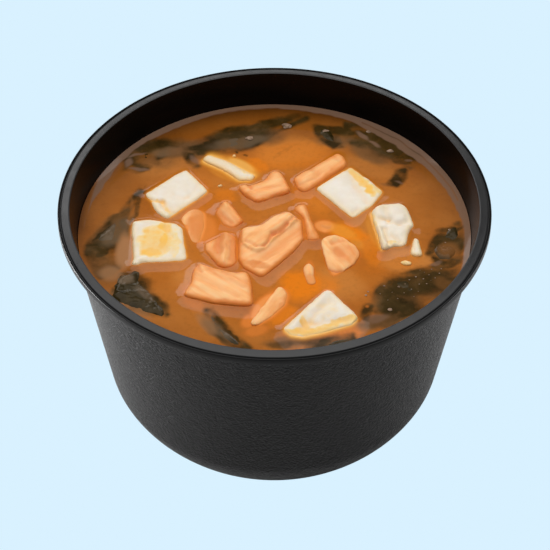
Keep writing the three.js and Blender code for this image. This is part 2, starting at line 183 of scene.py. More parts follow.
bowl_satin, shader = new_material("black satin polypropylene", {
    "Base Color": (0.008, 0.0078, 0.0078, 1), "Roughness": 0.32, "IOR": 1.49,
})
haze = add_node(bowl_satin, "ShaderNodeTexNoise", Scale=260, Detail=3)
join(bowl_satin, object_coordinates(bowl_satin), haze.inputs["Vector"])
join(bowl_satin, ramp(bowl_satin, haze.outputs["Fac"], [(0.3, (0.27,) * 3), (0.7, (0.38,) * 3)]),
     shader.inputs["Roughness"])

bowl_grain, shader = new_material("black grained polypropylene", {
    "Base Color": (0.004, 0.0039, 0.0039, 1), "Roughness": 0.3, "IOR": 1.49, "Specular IOR Level": 0.14,
})
wrinkles = add_node(bowl_grain, "ShaderNodeTexNoise", Scale=820, Detail=1.2, Distortion=1.6)
join(bowl_grain, object_coordinates(bowl_grain), wrinkles.inputs["Vector"])
bump(bowl_grain, shader, wrinkles.outputs["Fac"], 0.48 * MM)

bowl_inside, shader = new_material("black smooth polypropylene", {
    "Base Color": (0.0022, 0.0018, 0.0016, 1), "Roughness": 0.24, "IOR": 1.3, "Specular IOR Level": 0.2,
})

bowl_skirt, shader = new_material("black polished polypropylene", {
    "Base Color": (0.003, 0.0029, 0.0029, 1), "Roughness": 0.34, "IOR": 1.45, "Specular IOR Level": 0.2,
})

bowl = turned("bowl_shell", bowl_profile(), BOWL_SIDES)
for material in (bowl_satin, bowl_grain, bowl_inside, bowl_skirt):
    bowl.data.materials.append(material)
# The rim keeps finish 0; the wall is grained, the inside smooth, and the rim's skirt and the foot polished.
for face in bowl.data.polygons:
    spot = face.center
    out = math.hypot(spot.x, spot.y)
    wall = wall_radius(spot.z)
    if FOOT_BAND < spot.z < RIM_TOP - 2.5 * MM and out > wall - 0.3 * MM:
        face.material_index = 1
    elif spot.z < RIM_TOP - 0.2 * MM and out < min(MOUTH_RADIUS + 0.02 * MM, wall - 0.5 * MM):
        face.material_index = 2
    elif RIM_TOP - 2.6 * MM < spot.z < RIM_TOP - 0.5 * MM and out > LIP_RADIUS - 0.5 * MM:
        face.material_index = 3
    elif spot.z < FOOT_BAND:
        face.material_index = 3
smooth(bowl)
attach(bowl, "root")
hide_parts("bowl")

# ---------------------------------------------------------------- broth
# Cloudy miso broth, orange with salmon oil. It climbs a little up the bowl and up every piece that
# stands in it, and it shows the colour of what lies just under its surface.

noise.seed_set(5)                # the wandering edges below come out the same on every run
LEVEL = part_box("broth")[1].z
BROTH_RADIUS = inside_radius(LEVEL)
BROTH_CELLS = 290                # quads across the surface
WATERLINE = 0.05 * MM            # how far above the broth each piece's outline is taken
CLIMB = 0.7 * MM                 # how high the broth climbs at a piece of food
REACH = 1.6 * MM                 # over what distance that climb fades
WALL_REACH = 2.2 * MM            # how far from the bowl it starts to climb at the back and the front
SIDE_REACH = 5.0 * MM            # the same at the left and the right, where it clings more
WALL_CLIMB = 0.36 * MM           # how high it stands against the bowl there
SIDE_CLIMB = 0.75 * MM
# The painted reflection of the lamps in the broth where it climbs the bowl: bearing in degrees, its distance
# from the bowl and its width (mm).
WALL_REFLECTION = [
    (-180, 1.5, 0), (-30, 0, 0), (-20, 0, 1.3), (-8, 0, 1.8), (8, 0, 2.4), (22, 0, 3.2), (40, 0, 4.4),
    (52, 0, 3.7), (68, 0, 2.4), (82, 0, 1.7), (105, 0, 1.6), (120, 0, 2), (134, 0, 1.9), (146, 0.1, 1.8),
    (155, 0.2, 2.6), (162, 1, 1.8), (168, 1.7, 0.3), (172, 1.9, 0), (180, 1.5, 0),
]
# Pieces that broth washes over, and how much of their height above it stays.
AWASH = {
    "salmon_left_sunk": 0.3, "salmon_front_sliver": 0.3, "salmon_right_tip": 0.08, "salmon_right": 0.45,
    "salmon_finger": 0.35, "tofu_back_sunk": 0.6, "tofu_right_crumb": 1.0,
}
CLEAR_DEPTH = 3.1 * MM           # how deep pale food still shows through the broth
LEAF_HALO = 1.15 * MM            # how far a leaf darkens the broth round it

# Soft-edged ovals of colour: middle (mm), half length and half width (mm), turn, strength.
# Where wakame lies just under the surface.
DARK_WAKAME = [
    (-7, 43.4, 17, 2.6, 20, 1), (-20.8, 35.4, 4.6, 2.2, 12, 0.95), (-19.6, 32.4, 2.6, 1.2, -60, 0.85),
    (-35.5, 35.2, 7.5, 3.2, 14, 0.95), (-41.6, 28.5, 4.2, 1.3, 68, 0.8), (-35, 28.8, 3.6, 1.4, -10, 0.5),
    (18.5, 42.6, 6.4, 2, -12, 1), (18.2, 36.2, 1.6, 0.8, 0, 0.5), (30.8, 36.8, 10, 4.2, -42, 1),
    (27, 41.8, 6, 2.4, -5, 0.95), (36.5, 29.2, 3, 1.6, -30, 0.8), (37.6, 33, 4.5, 2.2, -42, 0.95),
    (42.8, -5, 4.8, 1.7, 76, 0.9), (48, 1.2, 4.5, 1.4, 15, 0.85), (46, -12.6, 5.5, 2.4, 25, 0.85),
    (38.5, -20.6, 12, 5.6, 22, 1), (31.4, -28.6, 5, 4, 35, 1), (24.6, -30, 1.6, 1.5, 0, 0.9),
    (24.1, -33.2, 1.6, 1, 60, 0.95), (12.5, -42.8, 8, 1.5, 0, 0.7), (2, -43.8, 4, 1.6, 0, 0.6),
    (-12, -38.2, 8.5, 1.1, -52, 1), (-37.5, -21, 6, 4.2, -60, 0.9), (-31.8, -28, 4.6, 2.2, -50, 0.9),
    (-46.6, -8.8, 3, 2.1, 80, 1), (-46, 1.2, 8.5, 0.9, 54, 0.95), (-38.8, 8.6, 9.6, 1, 74, 0.75),
    (-43.5, 5.6, 3, 1.4, 30, 0.8), (-10.6, 32.6, 0.7, 0.7, 0, 0.9), (-8, 32, 0.6, 0.6, 0, 0.8),
    (2, 33, 4, 1, 40, 0.12),
]

# Where sheets of it lie just under the broth, painted grey-brown as a painted sheen of reflected light.
SHEEN_ON_SUNK_WAKAME = [
    (-9, 38.6, 12, 4.2, 14, 1), (-27, 34, 9, 4.6, 8, 0.9), (-33, 29, 6, 3, 0, 0.45),
    (18, 38.6, 6.5, 3.4, 0, 0.75), (27, 33.5, 9, 3.6, -38, 0.8), (33, 20.2, 3.4, 1, 10, 0.5),
    (47, -6, 4, 4, 0, 0.6), (29, -34.4, 8, 2.8, 20, 0.95), (44, -21, 6, 5, 40, 0.7),
    (33, -27, 8, 6, 30, 0.9), (3, -42.8, 5.5, 2.4, 0, 0.7), (10, -43, 6, 1.4, 0, 0.4),
    (-15.4, -39.4, 7.5, 2, -56, 0.95), (-35, -26, 8, 3.4, -45, 0.8), (-45, -1, 9, 4.4, 60, 1),
    (-46, -15, 7, 4, -75, 0.6), (-21, 31, 4, 1.6, -62, 0.6),
]

# Where oil gathers and the broth is painted a brighter orange, a painted glow of light scattered up from the
# food under it.
OIL_AND_PAINTED_GLOW = [
    (7, -21.5, 6.5, 6, 40, 1), (20.4, -0.6, 6.6, 3.6, -32, 1), (2, -33, 5, 3, 50, 0.75),
    (13, -22, 5, 4, 0, 0.55), (-14, -1, 4, 6, 0, 0.35), (10, 12, 8, 4, -60, 0.35),
    (26, -8, 3, 7, 15, 0.55), (35, -12, 5, 2.5, 5, 0.2), (5, 32, 12, 7, 10, 0.5),
    (-5, 28, 4, 3, -40, 0.8), (12, -38.6, 9, 2, 5, 0.7), (20, -38.6, 4, 2, 10, 0.7),
    (-14, 13.5, 3, 3, 0, 0.5), (28, -13, 4, 4, 0, 0.2), (-24, 15, 8, 10, 30, 0.3),
]

# Where the broth is thick with miso and paler.
CLOUDY = [
    (36, -11, 8, 4, 10, 0.6), (4, 34, 10, 6, 10, 0.7), (18, -21, 8, 6, -50, 0.5),
    (27, 27, 9, 5, -20, 0.35), (-20, -19, 8, 4, 10, 0.4), (24, 0, 4, 8, 0, 0.4), (-30, 27, 9, 4, 20, 0.4),
]

# Where the broth is painted a grey sheen, a painted reflection on wet wakame just under it.
PAINTED_GREY_SHEEN = [
    (-41, -8.4, 7.5, 2.4, 88, 0.95), (-44, -17, 3.4, 3, 0, 0.6), (-17.8, -36.2, 5, 1.8, -58, 0.5),
    (-38.4, -29, 8, 1.8, -42, 0.5), (-30.9, 33, 5, 2.2, 10, 0.2),
]

# Where tofu lies just under the surface and makes it yellow.
PALE_BELOW = [
    (-9.6, 27.4, 6.4, 2.6, -38, 0.72), (-14.6, 23.2, 6, 1.6, -34, 0.4), (27.2, 0.5, 9, 2, 100, 0.4),
    (33.5, -8.5, 6, 1.2, 5, 0.2), (18.6, 0.2, 5.6, 2.6, -34, 0.5), (22.6, -4.4, 3.4, 1.8, -60, 0.4),
]

# Where salmon lies just under the surface and makes it pink.
PINK_BELOW = [
    (-2.2, -30, 8, 3.6, 62, 0.85), (-6.5, -34.8, 3.5, 2.4, 60, 0.6), (-4.6, -38.4, 4, 2.4, 20, 0.5),
    (-21.8, -26, 3.4, 6, 20, 0.4), (-19.4, 0.5, 4.6, 7.4, 0, 0.62), (19.6, -8.6, 4.6, 5.4, 20, 0.4),
    (9.6, -15, 1.5, 4.2, 0, 0.55), (24.8, -29.2, 0.6, 0.6, 0, 0.42), (13.8, 2, 3.4, 3, 0, 0.85),
]

# Where a leaf is thin and lets the broth's colour through.
THIN_LEAF = [
    (47.4, -7, 3.6, 3.2, 70, 0.85), (47.4, -21.6, 2, 4.4, 50, 0.5), (-42.8, 5.4, 4, 1.4, 50, 0.5),
    (-40.3, 8, 6.6, 0.8, 88, 0.9), (-36.4, 28.6, 3.4, 1.7, 0, 0.75),
]

# Where a leaf is painted pale: a painted sheen of reflected light on its wet folds.
PAINTED_LEAF_SHEEN = [
    (-43.4, -0.6, 6.4, 3.3, 62, 0.85), (-40, -19.8, 2.4, 2, 0, 0.9), (-44.8, -16.6, 3.4, 2.8, 0, 0.8),
    (-34.6, -25, 3.6, 1.5, -45, 0.7), (-15.6, -36.4, 7, 2.2, -55, 0.85), (-30.9, 33, 4, 2, 10, 0.6),
    (-10, 37.4, 10, 2.6, 12, 0.8), (20, 38.8, 3, 1.4, -10, 0.5),
]

# Painted glints: pale strokes where curled wet leaves reflect the lamps.
PAINTED_GLINTS = [
    (-39.4, 31.6, 2.8, 0.5, 20, 0.9), (-41.4, 28.4, 2.2, 1, 80, 1), (-38.2, 25.6, 3, 0.6, -6, 0.9),
    (-22.8, 29.8, 2.4, 1, -62, 0.7), (25.2, 40.6, 2.6, 0.9, -48, 0.95), (28.4, 37, 2.2, 0.7, -44, 0.9),
    (31.6, 39.8, 2.8, 0.8, -42, 0.9), (38, 29.6, 1.2, 0.6, 0, 0.6), (43.9, -12.4, 2, 0.8, 30, 0.7),
    (27, -33.8, 3.6, 1.6, 18, 0.55), (35, 20.6, 1.4, 0.5, -30, 0.5),
]

standing = [name for name in nodes if name.startswith(("tofu", "salmon"))]
leaves = [name for name in nodes if name.startswith("wakame")]


# Where a solid crosses a given height, as flat segments (ax, ay, bx, by).
def waterline(name, height):
    mesh = nodes[name].data
    found = []
    mesh.calc_loop_triangles()
    for triangle in mesh.loop_triangles:
        corners = [mesh.vertices[i].co for i in triangle.vertices]
        points = []
        for a, b in zip(corners, corners[1:] + corners[:1]):
            if (a.z - height) * (b.z - height) < 0:
                share = (height - a.z) / (b.z - a.z)
                points.append((a.x + (b.x - a.x) * share, a.y + (b.y - a.y) * share))
        if len(points) == 2:
            found.append((*points[0], *points[1]))
    return np.array(found)


def distance_to(segments, x, y):
    nearest = np.full(x.shape, 1.0)
    for ax, ay, bx, by in segments:
        dx, dy = bx - ax, by - ay
        share = np.clip(((x - ax) * dx + (y - ay) * dy) / max(dx * dx + dy * dy, 1e-16), 0, 1)
        nearest = np.minimum(nearest, np.hypot(x - ax - share * dx, y - ay - share * dy))
    return nearest


def merged_tree(names):
    points, faces = [], []
    for name in names:
        start = len(points)
        points += [vertex.co.copy() for vertex in nodes[name].data.vertices]
        faces += [[start + i for i in face.vertices] for face in nodes[name].data.polygons]
    return BVHTree.FromPolygons(points, faces)


def vertex_array(piece):
    flat = np.empty(len(piece.data.vertices) * 3)
    piece.data.vertices.foreach_get("co", flat)
    return flat.reshape(-1, 3)


def set_attribute(piece, name, values):
    piece.data.attributes.new(name, "FLOAT", "POINT").data.foreach_set("value", values)


# How strongly each point lies inside a set of soft-edged oval patches.
def inside_patches(patches, x, y):
    strongest = np.zeros(x.shape)
    for middle_x, middle_y, half_length, half_width, turn, strength in patches:
        angle = math.radians(turn)
        dx, dy = x / MM - middle_x, y / MM - middle_y
        along = (dx * math.cos(angle) + dy * math.sin(angle)) / half_length
        across = (dy * math.cos(angle) - dx * math.sin(angle)) / half_width
        fade = np.clip((1.3 - np.hypot(along, across)) / 0.75, 0, 1)
        strongest = np.maximum(strongest, strength * fade * fade * (3 - 2 * fade))
    return strongest


# How much of what lies below shows through at each point: all of it at the surface, none deep down.
def shows_through(kind, x, y):
    tree = merged_tree([name for name in standing if name.startswith(kind)])
    shown = np.zeros(x.shape)
    for i, (px, py) in enumerate(zip(x, y)):
        hit = tree.ray_cast((px, py, RIM_TOP), (0, 0, -1), RIM_TOP - LEVEL + CLEAR_DEPTH)
        if hit[0]:
            shown[i] = min(1, 1 - (LEVEL - hit[0].z) / CLEAR_DEPTH)
    return shown


# The same values with softer edges, as cloudy broth scatters them.
def softened(values, rounds=7):
    table = values.reshape(BROTH_CELLS + 1, BROTH_CELLS + 1)
    for _ in range(rounds):
        wide = np.pad(table, 1, mode="edge")
        table = (wide[:-2, 1:-1] + wide[2:, 1:-1] + wide[1:-1, :-2] + wide[1:-1, 2:] + 2 * table) / 6
    return table.ravel()


bpy.ops.object.select_all(action="DESELECT")
bpy.ops.mesh.primitive_grid_add(x_subdivisions=BROTH_CELLS, y_subdivisions=BROTH_CELLS, size=2)
broth = bpy.context.object
broth.name = "broth_body"
place = vertex_array(broth)
u, v = place[:, 0].copy(), place[:, 1].copy()
x = u * np.sqrt(1 - v * v / 2) * BROTH_RADIUS
y = v * np.sqrt(1 - u * u / 2) * BROTH_RADIUS
piece_distance = np.full(x.shape, 1.0)
for name in [name for name in standing if name not in AWASH]:
    piece_distance = np.minimum(piece_distance, distance_to(waterline(name, LEVEL + WATERLINE), x, y))
edge_distance = BROTH_RADIUS - np.hypot(x, y)
leaf_tree = merged_tree(leaves)
leaf_distance = np.array([leaf_tree.find_nearest((px, py, LEVEL))[3] for px, py in zip(x, y)])
climb = CLIMB * np.exp(-piece_distance / REACH)
# Between the left tofu and the bowl it climbs much less.
slack = np.clip((-37.5 - x / MM) / 2.0, 0, 1)
slack *= np.clip(1 - np.hypot(x / MM + 38, y / MM + 5) / 11, 0, 1) ** 0.3
climb *= 1 - 0.8 * slack
sideways = np.abs(x) / np.maximum(np.hypot(x, y), 1e-9)
sideways = sideways ** 2 * (0.8 + 0.2 * np.sin(9 * np.arctan2(y, x)))
wall_reach = WALL_REACH + (SIDE_REACH - WALL_REACH) * sideways
wall_height = WALL_CLIMB + (SIDE_CLIMB - WALL_CLIMB) * sideways
climb = np.maximum(climb, wall_height * np.clip(1 - edge_distance / wall_reach, 0, 1) ** 1.6)
place[:, 0], place[:, 1], place[:, 2] = x, y, LEVEL + climb
broth.data.vertices.foreach_set("co", place.ravel())
drift = np.array([noise.noise_vector((px / (7 * MM), py / (7 * MM), 3.1)) for px, py in zip(x, y)])
ripple = np.array([noise.noise_vector((px / (2.2 * MM), py / (2.2 * MM), 9.7)) for px, py in zip(x, y)])
strayed_x = x + (1.4 * drift[:, 0] + 0.6 * ripple[:, 0]) * MM
strayed_y = y + (1.4 * drift[:, 1] + 0.6 * ripple[:, 1]) * MM
near_leaf = 1.15 - np.maximum(leaf_distance - 0.25 * MM, 0) / LEAF_HALO + 0.2 * drift[:, 2]
near_leaf = np.clip(near_leaf, 0, 1) ** 1.4
# Painted shade: the broth near the back wall and the left wall is painted dark for the bowl's shadow and its
# dark reflection.
painted_wall_shade = np.exp(-edge_distance / (8 * MM)) * np.clip(y / BROTH_RADIUS + 0.1, 0, 1)
left_wall_shade = np.clip(-x / BROTH_RADIUS - 0.78, 0, 0.2) / 0.2 * np.clip(y / (9 * MM) + 0.9, 0, 1)
painted_wall_shade = np.maximum(painted_wall_shade, 0.75 * np.exp(-edge_distance / (3.5 * MM)) * left_wall_shade)
set_attribute(broth, "wakame_below", np.maximum(inside_patches(DARK_WAKAME, strayed_x, strayed_y), near_leaf))
for name, patches in (("wakame_sheet_sheen", SHEEN_ON_SUNK_WAKAME), ("oil_and_glow", OIL_AND_PAINTED_GLOW), ("cloudy", CLOUDY),
                      ("thin_leaf", THIN_LEAF), ("painted_leaf_sheen", PAINTED_LEAF_SHEEN)):
    set_attribute(broth, name, inside_patches(patches, strayed_x, strayed_y))
set_attribute(broth, "painted_grey_sheen", inside_patches(PAINTED_GREY_SHEEN, x, y))
for kind, patches in (("tofu", PALE_BELOW), ("salmon", PINK_BELOW)):
    food_below = softened(shows_through(kind, x, y))
    set_attribute(broth, f"{kind}_below", np.maximum(food_below, inside_patches(patches, x, y)))
# A painted reflection band along the bowl, with darker streaks in its wide parts; the painted glints join it.
bearing = np.degrees(np.arctan2(y, x))
reflection_start = np.interp(bearing, [row[0] for row in WALL_REFLECTION], [row[1] * MM for row in WALL_REFLECTION])
reflection_width = np.interp(bearing, [row[0] for row in WALL_REFLECTION], [row[2] * MM for row in WALL_REFLECTION])
reflection_width *= 1 + 0.22 * drift[:, 0] + 0.12 * ripple[:, 1]
inner = edge_distance - reflection_start
streak = 1 - 0.6 * np.exp(-((inner - 0.45 * reflection_width) / (0.22 * MM)) ** 2) * (reflection_width > 2.8 * MM)
painted_reflection = np.clip((reflection_width - inner) / (0.35 * MM), 0, 1) * np.clip(1 + inner / (0.35 * MM), 0, 1) * streak
# Painted glints on curled leaves.
glints = inside_patches(PAINTED_GLINTS, x + 0.5 * MM * ripple[:, 0], y + 0.5 * MM * ripple[:, 1])
set_attribute(broth, "painted_reflection", np.maximum(painted_reflection, glints))
set_attribute(broth, "behind", painted_wall_shade)
# Painted shade: how much the broth is painted darker towards the bowl's wall.
set_attribute(broth, "outer", np.clip(1 - edge_distance / (26 * MM), 0, 1))

edit(broth)
bpy.ops.mesh.select_all(action="DESELECT")
bpy.ops.mesh.select_mode(type="EDGE")
bpy.ops.mesh.select_non_manifold()
rim_height = LEVEL + wall_height.max()
for height in (LEVEL - 20 * MM, HEEL_HEIGHT, 8 * MM, FLOOR + 0.1 * MM):
    scale = (inside_radius(height) - 0.05 * MM) / inside_radius(rim_height)
    bpy.ops.mesh.extrude_region_move(TRANSFORM_OT_translate={"value": (0, 0, height - rim_height)})
    bpy.ops.transform.resize(value=(scale, scale, 1), center_override=(0, 0, 0))
    rim_height = height
bpy.ops.mesh.edge_face_add()
bpy.ops.mesh.select_all(action="SELECT")
bpy.ops.mesh.normals_make_consistent(inside=False)
leave_edit()

broth_look, shader = new_material("miso broth", {"Roughness": 0.06, "IOR": 1.34})


def attribute(material, name):
    node = material.node_tree.nodes.new("ShaderNodeAttribute")
    node.attribute_name = name
    return node.outputs["Fac"]


def mix_colour(material, factor, first, second):
    node = material.node_tree.nodes.new("ShaderNodeMixRGB")
    for socket, value in zip(node.inputs, (factor, first, second)):
        if isinstance(value, bpy.types.NodeSocket):
            join(material, value, socket)
        elif isinstance(value, tuple):
            socket.default_value = (*value, 1)
        else:
            socket.default_value = value
    return node.outputs["Color"]


def calculate(material, operation, *values, clamp=False):
    node = material.node_tree.nodes.new("ShaderNodeMath")
    node.operation = operation
    node.use_clamp = clamp
    for socket, value in zip(node.inputs, values):
        if isinstance(value, bpy.types.NodeSocket):
            join(material, value, socket)
        else:
            socket.default_value = value
    return node.outputs["Value"]


# An attribute times a strength, from 0 to 1.
def weighted(material, name, strength):
    return calculate(material, "MULTIPLY", attribute(material, name), strength, clamp=True)


# Cloudiness, stains, veins and fine grain all come from this one effect: an uneven mask from 0 to 1.
mottling = bpy.data.node_groups.new("mottling", "ShaderNodeTree")
for label, kind in (("Place", "NodeSocketVector"), ("Fineness", "NodeSocketFloat"),
                    ("Detail", "NodeSocketFloat")):
    mottling.interface.new_socket(label, in_out="INPUT", socket_type=kind)
mottling.interface.new_socket("Mask", in_out="OUTPUT", socket_type="NodeSocketFloat")
group_in = mottling.nodes.new("NodeGroupInput")
group_out = mottling.nodes.new("NodeGroupOutput")
speckle = mottling.nodes.new("ShaderNodeTexNoise")
mottling.links.new(group_in.outputs["Place"], speckle.inputs["Vector"])
mottling.links.new(group_in.outputs["Fineness"], speckle.inputs["Scale"])
mottling.links.new(group_in.outputs["Detail"], speckle.inputs["Detail"])
mottling.links.new(speckle.outputs["Fac"], group_out.inputs["Mask"])


def mottled(material, fineness, detail=2.0, place=None):
    node = material.node_tree.nodes.new("ShaderNodeGroup")
    node.node_tree = mottling
    node.inputs["Fineness"].default_value = fineness
    node.inputs["Detail"].default_value = detail
    join(material, place or object_coordinates(material), node.inputs["Place"])
    return node.outputs["Mask"]


cloud = mottled(broth_look, 60, 4)
plain = ramp(broth_look, cloud, [
    (0.32, (0.43, 0.115, 0.008)), (0.5, (0.50, 0.145, 0.012)), (0.68, (0.55, 0.175, 0.022)),
])
# Painted shade: the broth is painted darker towards the bowl, as its wall shades it.
wall_shaded_broth = ramp(broth_look, cloud, [(0.32, (0.27, 0.082, 0.009)), (0.68, (0.37, 0.125, 0.02))])
colour = mix_colour(broth_look, attribute(broth_look, "outer"), plain, wall_shaded_broth)
# Paler miso, then oil with a painted glow of light, then painted shade and dark reflection from the bowl's
# wall at the back.
for name, tint in (("cloudy", (0.60, 0.225, 0.045)), ("oil_and_glow", (0.78, 0.20, 0.004)),
                   ("behind", (0.055, 0.016, 0.001))):
    colour = mix_colour(broth_look, attribute(broth_look, name), colour, tint)
fleck = mottled(broth_look, 900)
below = calculate(broth_look, "MULTIPLY_ADD", calculate(broth_look, "SUBTRACT", fleck, 0.5), 0.5,
                  attribute(broth_look, "wakame_below"), clamp=True)
veil = calculate(broth_look, "MULTIPLY", calculate(broth_look, "SMOOTH_MIN", below, 1.0, 0.1), 0.96)
# Painted sheen on the wakame sheets just under the broth.
sheet_sheen_tint = ramp(broth_look, mottled(broth_look, 120, 3), [
    (0.35, (0.085, 0.048, 0.016)), (0.65, (0.15, 0.082, 0.030)),
])
colour = mix_colour(broth_look, weighted(broth_look, "wakame_sheet_sheen", 0.85), colour, sheet_sheen_tint)
wakame_tint = ramp(broth_look, mottled(broth_look, 160, 3), [
    (0.35, (0.020, 0.013, 0.002)), (0.55, (0.042, 0.026, 0.006)), (0.72, (0.09, 0.052, 0.018)),
])
# Painted sheen on the leaves under the broth.
wakame_tint = mix_colour(broth_look, attribute(broth_look, "painted_leaf_sheen"), wakame_tint, (0.135, 0.088, 0.048))
wakame_tint = mix_colour(broth_look, attribute(broth_look, "thin_leaf"), wakame_tint, (0.20, 0.080, 0.020))
colour = mix_colour(broth_look, veil, colour, wakame_tint)
# Painted grey sheen.
colour = mix_colour(broth_look, attribute(broth_look, "painted_grey_sheen"), colour, (0.38, 0.175, 0.070))
wet = calculate(broth_look, "MULTIPLY_ADD", veil, -0.3, 0.48)
join(broth_look, wet, shader.inputs["Specular IOR Level"])
# Painted reflection and glints on the broth.
colour = mix_colour(broth_look, weighted(broth_look, "painted_reflection", 0.92), colour, (0.200, 0.112, 0.068))
for kind, most, deep, near, surface in (
    ("salmon_below", 1.7, (0.62, 0.15, 0.012), (0.76, 0.215, 0.03), (0.88, 0.32, 0.08)),
    ("tofu_below", 1.3, (0.74, 0.23, 0.01), (0.88, 0.38, 0.045), (0.95, 0.58, 0.18)),
):
    shown = attribute(broth_look, kind)
    tint = ramp(broth_look, shown, [(0.15, deep), (0.6, near), (0.95, surface)])
    share = calculate(broth_look, "MULTIPLY", calculate(broth_look, "POWER", shown, 1.5), most, clamp=True)
    colour = mix_colour(broth_look, share, colour, tint)
join(broth_look, colour, shader.inputs["Base Color"])
broth.data.materials.append(broth_look)
smooth(broth, 60)
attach(broth, "root")
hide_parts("broth")

# ---------------------------------------------------------------- tofu
# Seven pieces of soft bean curd cut from a block: fine-grained and cream-white, with cut edges that have
# crumbled a little, and yellow where broth and oil have soaked in.

TOFU_VOXEL = 0.34 * MM
SMOOTHING_LOSS = 0.12 * MM       # how much a skin shrinks as it is smoothed
TOFU_EDGE = 1.2 * MM             # how far in from its outline a piece is creamier

# Yellow patches, as ovals like the broth's.
SOAKED = [
    (-32.2, -5.2, 6.8, 5.4, 78, 0.72), (-33.5, -9.5, 3.4, 2.2, 10, 1), (-30.2, -4.6, 4.4, 1.3, 80, 1),
    (-30.3, 0.4, 2.2, 1.9, 60, 0.95), (-34.8, -3.5, 3.6, 1.6, 80, 0.75), (-32.6, 11.4, 1, 0.6, 30, 0.6),
    (-29.6, 7, 2.2, 0.8, -65, 0.55), (23.6, 21.4, 5.6, 1.5, -62, 0.85), (26.4, 16.2, 3, 1.4, -60, 1),
    (28.6, 16.4, 3, 1, -50, 0.5), (8, -36.4, 2.4, 1, -65, 0.95), (11.5, -38.6, 5, 1.3, 8, 0.6),
    (16, -36.6, 3.4, 1.3, 20, 0.9), (19.8, -35.4, 2.4, 1.6, 40, 0.8), (3.6, -40.2, 2.2, 1.2, -30, 0.7),
    (12, -32, 8, 5.5, 45, 0.2), (9, -39.2, 7.5, 1.3, 2, 1), (-27.2, -5.6, 1.5, 6.5, 0, 0.4),
    (27, 1, 8.5, 1.2, 100, 0.6), (31.8, -5.4, 1.2, 0.8, 0, 0.5), (-8, 24.4, 4, 1.4, -38, 0.3),
]

# Cracks, tears and swellings in the top: a line from one point to another (mm), half width, height.
TOFU_MARKS = {
    "tofu_back_left": [
        (-34.2, 11.6, -31.4, 11, 0.8, -0.5), (-31.4, 11, -28.8, 6, 0.9, -0.5),
        (-32.6, 8.6, -30, 5.4, 1.6, 0.35), (-21.8, 17.6, -24.6, 12.8, 1, -0.25),
        (-27, 21, -21, 14, 3, 0.25),
    ],
    "tofu_left": [
        (-37.2, 1, -36.4, -11.4, 1.3, 0.25), (-30.4, 2.6, -28.4, -3, 0.8, -0.3),
        (-33, -8, -29, -8.5, 2.6, -0.25), (-26.6, -1, -25.6, -11, 1.2, 0.2),
        (-36.6, -12.4, -38.4, -13.6, 1, 0.3),
    ],
    "tofu_back_sunk": [(-18.6, 29.8, -8, 22.2, 2, 0.15)],
    "tofu_right_crumb": [(38.6, -4, 38.8, -9, 0.8, 0.3)],
    "tofu_back_right": [
        (20.6, 25, 25.4, 11, 1.3, -0.22), (15, 18, 22, 10, 4, 0.25), (26.2, 20.8, 28.4, 15, 1.2, 0.2),
        (21.4, 6.4, 23, 7.6, 0.7, -0.3),
    ],
    "tofu_right_torn": [
        (28.6, 8.6, 29.8, 5, 1.2, 0.5), (29.6, 4.2, 31.4, 3.4, 0.9, -0.7),
        (31.4, 3.4, 30.8, 8, 0.8, -0.45), (31, 2.2, 34.2, 1.6, 0.8, -0.5),
        (34.2, 1.6, 36.6, 3, 0.8, -0.35), (33.4, 6.4, 35.4, 4.2, 1.8, 0.5),
        (29, 0.4, 30, -6.6, 0.8, 0.45), (30.2, 0, 31, -6, 0.8, -0.7), (32, -3, 33.8, -5, 1, -0.6),
        (34.6, -1.4, 36, -0.2, 1.2, 0.35),
    ],
    "tofu_front": [
        (4.4, -38, 14.2, -26, 1, 0.35), (7.2, -38.4, 14.6, -29, 1, -0.35),
        (7.4, -35, 8.8, -38.2, 0.7, -0.4), (12, -33, 19, -32, 2.6, 0.3),
        (10.6, -36.6, 19.6, -35, 0.9, -0.3),
    ],
}


# A closed copy of a solid of the frame, at its own place.
def frame_copy(node_name, piece_name):
    piece = bpy.data.objects.new(piece_name, nodes[node_name].data.copy())
    bpy.context.scene.collection.objects.link(piece)
    piece.data.materials.clear()
    edit(piece)
    bpy.ops.mesh.remove_doubles(threshold=1e-6)
    bpy.ops.mesh.normals_make_consistent(inside=False)
    leave_edit()
    return piece


# Such a copy with an even fine skin and rounded edges, lower where broth washes over it.
def refined(node_name, piece_name, voxel, rounds):
    piece = frame_copy(node_name, piece_name)
    swell = piece.modifiers.new("allowance for the smoothing", "DISPLACE")
    swell.strength = SMOOTHING_LOSS
    swell.mid_level = 0
    remesh = piece.modifiers.new("even skin", "REMESH")
    remesh.mode = "VOXEL"
    remesh.voxel_size = voxel
    soften = piece.modifiers.new("soft edges", "SMOOTH")
    soften.iterations = rounds
    soften.factor = 0.5
    apply_modifiers(piece)
    place = vertex_array(piece)
    share = AWASH.get(node_name, 1.0)
    place[:, 2] = np.where(place[:, 2] > LEVEL, LEVEL + (place[:, 2] - LEVEL) * share, place[:, 2])
    piece.data.vertices.foreach_set("co", place.ravel())
    return piece


def apply_modifiers(piece):
    activate(piece)
    for modifier in list(piece.modifiers):
        bpy.ops.object.modifier_apply(modifier=modifier.name)


def roughen(piece, size, depth):
    texture = bpy.data.textures.new(f"{piece.name} relief {size}", "CLOUDS")
    texture.noise_scale = size
    relief = piece.modifiers.new("relief", "DISPLACE")
    relief.texture = texture
    relief.strength = depth
    relief.mid_level = 0.5
    apply_modifiers(piece)


